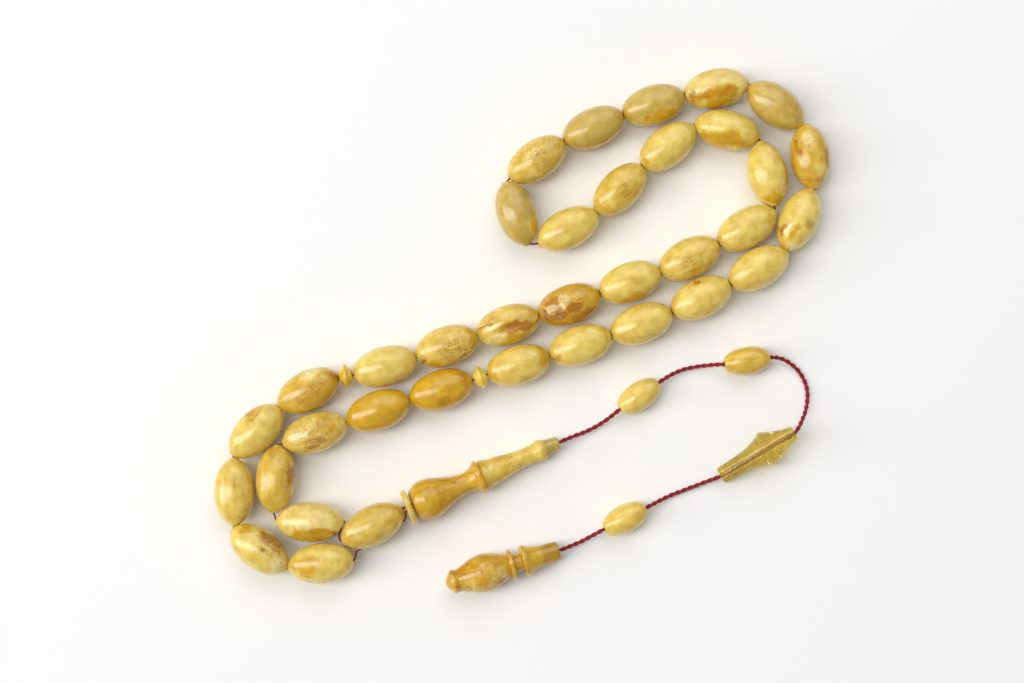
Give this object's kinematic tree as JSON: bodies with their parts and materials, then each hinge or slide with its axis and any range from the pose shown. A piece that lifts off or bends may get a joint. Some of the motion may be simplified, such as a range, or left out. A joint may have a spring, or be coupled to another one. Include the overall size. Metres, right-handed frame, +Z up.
{
  "type": "prayer beads",
  "caption": "Loop of barrel-shaped amber beads on a red thread, with a turned leader, a twisted tail cord, small beads, a turned spindle and a finial.",
  "frame": {"origin": "at table height, under the middle of the box round the beads, leader, spindle and finial", "axes": "+X along the length of the laid-out string, towards its far turn; +Y across it; +Z up from the table"},
  "size_m": [0.1478, 0.1268, 0.01],
  "materials": {
    "bead": "polished milky amber, pale butter yellow to honey, with darker natural crust in places",
    "separator": "polished honey amber",
    "collar": "polished butterscotch amber",
    "leader": "polished butterscotch amber, clearer towards the tip",
    "tail_bead": "polished milky amber",
    "spindle": "polished clear amber with milky clouds",
    "finial": "polished mottled amber",
    "thread": "twisted deep red thread"
  },
  "bodies": {
    "loop": {"loop_thread": "thread"},
    "leader": {"leader": "leader", "tail_cord_1": "thread"},
    "tail_1": {"tail_cord_2": "thread"},
    "tail_2": {"tail_cord_3": "thread"},
    "tail_3": {"tail_cord_4": "thread"},
    "tail_4": {"tail_cord_5": "thread"},
    "tail_5": {"tail_cord_6": "thread", "finial_knot": "thread"},
    "bead_01": {"bead_01": "bead"},
    "bead_02": {"bead_02": "bead"},
    "bead_03": {"bead_03": "bead"},
    "bead_04": {"bead_04": "bead"},
    "bead_05": {"bead_05": "bead"},
    "bead_06": {"bead_06": "bead"},
    "bead_07": {"bead_07": "bead"},
    "bead_08": {"bead_08": "bead"},
    "bead_09": {"bead_09": "bead"},
    "bead_10": {"bead_10": "bead"},
    "bead_11": {"bead_11": "bead"},
    "bead_12": {"bead_12": "bead"},
    "bead_13": {"bead_13": "bead"},
    "bead_14": {"bead_14": "bead"},
    "bead_15": {"bead_15": "bead"},
    "bead_16": {"bead_16": "bead"},
    "bead_17": {"bead_17": "bead"},
    "bead_18": {"bead_18": "bead"},
    "bead_19": {"bead_19": "bead"},
    "bead_20": {"bead_20": "bead"},
    "bead_21": {"bead_21": "bead"},
    "bead_22": {"bead_22": "bead"},
    "bead_23": {"bead_23": "bead"},
    "bead_24": {"bead_24": "bead"},
    "bead_25": {"bead_25": "bead"},
    "bead_26": {"bead_26": "bead"},
    "bead_27": {"bead_27": "bead"},
    "bead_28": {"bead_28": "bead"},
    "bead_29": {"bead_29": "bead"},
    "bead_30": {"bead_30": "bead"},
    "bead_31": {"bead_31": "bead"},
    "bead_32": {"bead_32": "bead"},
    "bead_33": {"bead_33": "bead"},
    "bead_34": {"bead_34": "bead"},
    "bead_35": {"bead_35": "bead"},
    "bead_36": {"bead_36": "bead"},
    "separator_1": {"separator_1": "separator"},
    "separator_2": {"separator_2": "separator"},
    "collar_disc": {"collar_disc": "collar"},
    "tail_bead_1": {"tail_bead_1": "tail_bead"},
    "tail_bead_2": {"tail_bead_2": "tail_bead"},
    "tail_bead_3": {"tail_bead_3": "tail_bead"},
    "spindle": {"spindle": "spindle"},
    "finial": {"finial": "finial"}
  },
  "joints": [
    {"name": "leader_swing", "type": "hinge", "parent": "loop", "child": "leader", "pos_m": [-0.02464, -0.0417, 0.00509], "axis": [0, 0, 1], "range_deg": [-7, 2]},
    {"name": "bend_1", "type": "hinge", "parent": "leader", "child": "tail_1", "pos_m": [0.01232, -0.02568, 0.00188], "axis": [0, 0, 1], "range_deg": [-9, 5]},
    {"name": "bend_2", "type": "hinge", "parent": "tail_1", "child": "tail_2", "pos_m": [0.03845, -0.00977, 0.00142], "axis": [0, 0, 1], "range_deg": [-7, 6]},
    {"name": "bend_3", "type": "hinge", "parent": "tail_2", "child": "tail_3", "pos_m": [0.06833, -0.01517, 0.0009], "axis": [0, 0, -1], "range_deg": [-25, 5]},
    {"name": "bend_4", "type": "hinge", "parent": "tail_3", "child": "tail_4", "pos_m": [0.0403, -0.03803, 0.00101], "axis": [0, 0, -1], "range_deg": [-20, 10]},
    {"name": "bend_5", "type": "hinge", "parent": "tail_4", "child": "tail_5", "pos_m": [0.01343, -0.05108, 0.00192], "axis": [0, 0, 1], "range_deg": [-15, 20]},
    {"name": "spindle_spin", "type": "hinge", "parent": "tail_3", "child": "spindle", "pos_m": [0.06454, -0.02513, 0.00581], "axis": [-0.8461, -0.5004, -0.1838], "continuous": true},
    {"name": "finial_spin", "type": "hinge", "parent": "tail_5", "child": "finial", "pos_m": [0.00824, -0.05313, 0.0031], "axis": [-0.9563, -0.2815, 0.0792], "continuous": true},
    {"name": "tail_bead_1_spin", "type": "hinge", "parent": "tail_1", "child": "tail_bead_1", "pos_m": [0.02764, -0.01623, 0.0034], "axis": [0.8241, 0.5664, 0], "continuous": true},
    {"name": "tail_bead_2_spin", "type": "hinge", "parent": "tail_2", "child": "tail_bead_2", "pos_m": [0.05364, -0.00773, 0.0034], "axis": [0.9882, 0.153, 0], "continuous": true},
    {"name": "tail_bead_3_spin", "type": "hinge", "parent": "tail_4", "child": "tail_bead_3", "pos_m": [0.02414, -0.04553, 0.0034], "axis": [-0.8902, -0.4555, 0], "continuous": true},
    {"name": "collar_disc_spin", "type": "hinge", "parent": "leader", "child": "collar_disc", "pos_m": [-0.02812, -0.04321, 0.00533], "axis": [0.9152, 0.3979, -0.0637], "continuous": true},
    {"name": "separator_1_spin", "type": "hinge", "parent": "loop", "child": "separator_1", "pos_m": [-0.01056, -0.01178, 0.0048], "axis": [0.9319, 0.3628, 0], "continuous": true},
    {"name": "separator_2_spin", "type": "hinge", "parent": "loop", "child": "separator_2", "pos_m": [-0.04271, -0.01154, 0.0048], "axis": [-0.985, -0.1727, 0], "continuous": true},
    {"name": "bead_01_spin", "type": "hinge", "parent": "loop", "child": "bead_01", "pos_m": [-0.0361, -0.04725, 0.0048], "axis": [-0.887, -0.4617, 0], "continuous": true},
    {"name": "bead_02_spin", "type": "hinge", "parent": "loop", "child": "bead_02", "pos_m": [-0.05098, -0.04631, 0.0048], "axis": [-1, 0.002, 0], "continuous": true},
    {"name": "bead_03_spin", "type": "hinge", "parent": "loop", "child": "bead_03", "pos_m": [-0.05928, -0.0361, 0.0048], "axis": [0.057, 0.9984, 0], "continuous": true},
    {"name": "bead_04_spin", "type": "hinge", "parent": "loop", "child": "bead_04", "pos_m": [-0.05004, -0.02514, 0.0048], "axis": [0.9473, 0.3203, 0], "continuous": true},
    {"name": "bead_05_spin", "type": "hinge", "parent": "loop", "child": "bead_05", "pos_m": [-0.0349, -0.01982, 0.0048], "axis": [0.9421, 0.3352, 0], "continuous": true},
    {"name": "bead_06_spin", "type": "hinge", "parent": "loop", "child": "bead_06", "pos_m": [-0.01981, -0.01484, 0.0048], "axis": [0.9554, 0.2953, 0], "continuous": true},
    {"name": "bead_07_spin", "type": "hinge", "parent": "loop", "child": "bead_07", "pos_m": [-0.00134, -0.00892, 0.0048], "axis": [0.9568, 0.2907, 0], "continuous": true},
    {"name": "bead_08_spin", "type": "hinge", "parent": "loop", "child": "bead_08", "pos_m": [0.0135, -0.00411, 0.0048], "axis": [0.9481, 0.3181, 0], "continuous": true},
    {"name": "bead_09_spin", "type": "hinge", "parent": "loop", "child": "bead_09", "pos_m": [0.02819, 0.00108, 0.0048], "axis": [0.9344, 0.3563, 0], "continuous": true},
    {"name": "bead_10_spin", "type": "hinge", "parent": "loop", "child": "bead_10", "pos_m": [0.04256, 0.00726, 0.0048], "axis": [0.9005, 0.4349, 0], "continuous": true},
    {"name": "bead_11_spin", "type": "hinge", "parent": "loop", "child": "bead_11", "pos_m": [0.05641, 0.01446, 0.0048], "axis": [0.8746, 0.4849, 0], "continuous": true},
    {"name": "bead_12_spin", "type": "hinge", "parent": "loop", "child": "bead_12", "pos_m": [0.06633, 0.02628, 0.0048], "axis": [0.4071, 0.9134, 0], "continuous": true},
    {"name": "bead_13_spin", "type": "hinge", "parent": "loop", "child": "bead_13", "pos_m": [0.06918, 0.04164, 0.0048], "axis": [-0.1159, 0.9933, 0], "continuous": true},
    {"name": "bead_14_spin", "type": "hinge", "parent": "loop", "child": "bead_14", "pos_m": [0.06099, 0.0543, 0.0048], "axis": [-0.7957, 0.6057, 0], "continuous": true},
    {"name": "bead_15_spin", "type": "hinge", "parent": "loop", "child": "bead_15", "pos_m": [0.04657, 0.05841, 0.0048], "axis": [-0.9784, -0.2067, 0], "continuous": true},
    {"name": "bead_16_spin", "type": "hinge", "parent": "loop", "child": "bead_16", "pos_m": [0.03144, 0.0544, 0.0048], "axis": [-0.9543, -0.2988, 0], "continuous": true},
    {"name": "bead_17_spin", "type": "hinge", "parent": "loop", "child": "bead_17", "pos_m": [0.01682, 0.04875, 0.0048], "axis": [-0.9099, -0.4148, 0], "continuous": true},
    {"name": "bead_18_spin", "type": "hinge", "parent": "loop", "child": "bead_18", "pos_m": [0.00316, 0.04097, 0.0048], "axis": [-0.8215, -0.5701, 0], "continuous": true},
    {"name": "bead_19_spin", "type": "hinge", "parent": "loop", "child": "bead_19", "pos_m": [-0.00177, 0.02785, 0.0048], "axis": [0.3302, -0.9439, 0], "continuous": true},
    {"name": "bead_20_spin", "type": "hinge", "parent": "loop", "child": "bead_20", "pos_m": [0.01063, 0.02414, 0.0048], "axis": [0.8895, 0.457, 0], "continuous": true},
    {"name": "bead_21_spin", "type": "hinge", "parent": "loop", "child": "bead_21", "pos_m": [0.02313, 0.03368, 0.0048], "axis": [0.7079, 0.7063, 0], "continuous": true},
    {"name": "bead_22_spin", "type": "hinge", "parent": "loop", "child": "bead_22", "pos_m": [0.0348, 0.04414, 0.0048], "axis": [0.7869, 0.6171, 0], "continuous": true},
    {"name": "bead_23_spin", "type": "hinge", "parent": "loop", "child": "bead_23", "pos_m": [0.04919, 0.04822, 0.0048], "axis": [0.9754, -0.2202, 0], "continuous": true},
    {"name": "bead_24_spin", "type": "hinge", "parent": "loop", "child": "bead_24", "pos_m": [0.05883, 0.03744, 0.0048], "axis": [0.208, -0.9781, 0], "continuous": true},
    {"name": "bead_25_spin", "type": "hinge", "parent": "loop", "child": "bead_25", "pos_m": [0.05369, 0.02425, 0.0048], "axis": [-0.8653, -0.5013, 0], "continuous": true},
    {"name": "bead_26_spin", "type": "hinge", "parent": "loop", "child": "bead_26", "pos_m": [0.03988, 0.01698, 0.0048], "axis": [-0.8964, -0.4432, 0], "continuous": true},
    {"name": "bead_27_spin", "type": "hinge", "parent": "loop", "child": "bead_27", "pos_m": [0.02546, 0.01116, 0.0048], "axis": [-0.9326, -0.361, 0], "continuous": true},
    {"name": "bead_28_spin", "type": "hinge", "parent": "loop", "child": "bead_28", "pos_m": [0.01087, 0.00572, 0.0048], "axis": [-0.9411, -0.3382, 0], "continuous": true},
    {"name": "bead_29_spin", "type": "hinge", "parent": "loop", "child": "bead_29", "pos_m": [-0.00387, 0.0008, 0.0048], "axis": [-0.9461, -0.324, 0], "continuous": true},
    {"name": "bead_30_spin", "type": "hinge", "parent": "loop", "child": "bead_30", "pos_m": [-0.01855, -0.00429, 0.0048], "axis": [-0.9463, -0.3232, 0], "continuous": true},
    {"name": "bead_31_spin", "type": "hinge", "parent": "loop", "child": "bead_31", "pos_m": [-0.03336, -0.00916, 0.0048], "axis": [-0.9595, -0.2816, 0], "continuous": true},
    {"name": "bead_32_spin", "type": "hinge", "parent": "loop", "child": "bead_32", "pos_m": [-0.05169, -0.01499, 0.0048], "axis": [-0.8811, -0.4729, 0], "continuous": true},
    {"name": "bead_33_spin", "type": "hinge", "parent": "loop", "child": "bead_33", "pos_m": [-0.06404, -0.02472, 0.0048], "axis": [-0.6973, -0.7168, 0], "continuous": true},
    {"name": "bead_34_spin", "type": "hinge", "parent": "loop", "child": "bead_34", "pos_m": [-0.06915, -0.03917, 0.0048], "axis": [0.0225, -0.9997, 0], "continuous": true},
    {"name": "bead_35_spin", "type": "hinge", "parent": "loop", "child": "bead_35", "pos_m": [-0.06302, -0.05277, 0.0048], "axis": [0.8038, -0.5949, 0], "continuous": true},
    {"name": "bead_36_spin", "type": "hinge", "parent": "loop", "child": "bead_36", "pos_m": [-0.04816, -0.05612, 0.0048], "axis": [0.9963, 0.0862, 0], "continuous": true}
  ]
}
